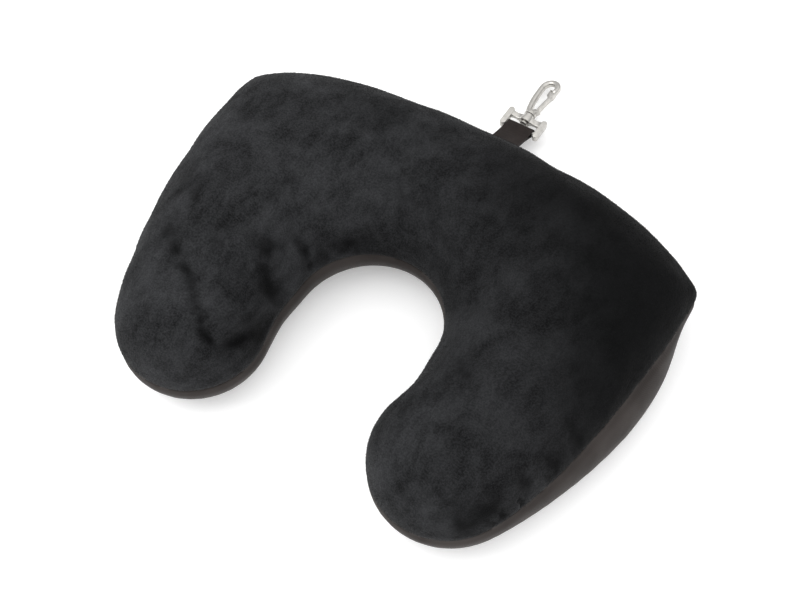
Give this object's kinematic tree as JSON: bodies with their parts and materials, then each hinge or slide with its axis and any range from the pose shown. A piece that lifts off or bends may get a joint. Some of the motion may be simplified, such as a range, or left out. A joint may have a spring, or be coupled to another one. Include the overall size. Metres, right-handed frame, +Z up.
{
  "type": "u shaped neck pillow",
  "caption": "U-shaped neck pillow with a plush top panel, a knit underside and side wall, a bead-filled inner bag, and a webbing tab with a swivel snap hook.",
  "frame": {"origin": "middle of the footprint of the whole object, hook included, on the surface that the pillow lies on", "axes": "+X along the pillow's back edge, to the right as seen from the lobes; +Y from the neck opening towards the hook; +Z up out of the plush panel"},
  "size_m": [0.3532, 0.3516, 0.08],
  "materials": {
    "plush": "black short-pile plush with a soft sheen",
    "knit": "brownish black smooth stretch knit",
    "liner": "plain white lining cloth",
    "beads": "small expanded plastic beads",
    "webbing": "brownish black woven webbing",
    "hardware": "warm satin silver, as plated plastic or nickel-plated zinc"
  },
  "bodies": {
    "pillow": {"plush_top_panel": "plush", "underside_panel": "knit", "liner_top_panel": "liner", "liner_underside_panel": "liner", "bead_fill": "beads", "webbing_tail": "webbing"},
    "tab": {"webbing_tab": "webbing"},
    "bracket": {"swivel_bracket": "hardware"},
    "hook": {"snap_hook": "hardware"},
    "gate": {"gate_tongue": "hardware"}
  },
  "joints": [
    {"name": "tab_fold", "type": "hinge", "parent": "pillow", "child": "tab", "pos_m": [0, 0.08997, 0.025], "axis": [1, 0, 0], "range_deg": [-45, 90]},
    {"name": "bracket_pivot", "type": "hinge", "parent": "tab", "child": "bracket", "pos_m": [0, 0.12468, 0.00954], "axis": [1, 0, 0], "range_deg": [-115, 55]},
    {"name": "hook_swivel", "type": "hinge", "parent": "bracket", "child": "hook", "pos_m": [0, 0.13415, 0.0088], "axis": [0, 0.9969, -0.0785], "continuous": true},
    {"name": "gate_flex", "type": "hinge", "parent": "hook", "child": "gate", "pos_m": [0.00342, 0.14471, 0.00908], "axis": [-0.309, 0.0746, 0.9481], "range_deg": [0, 16], "stiffness_Nm_per_rad": 0.05}
  ]
}
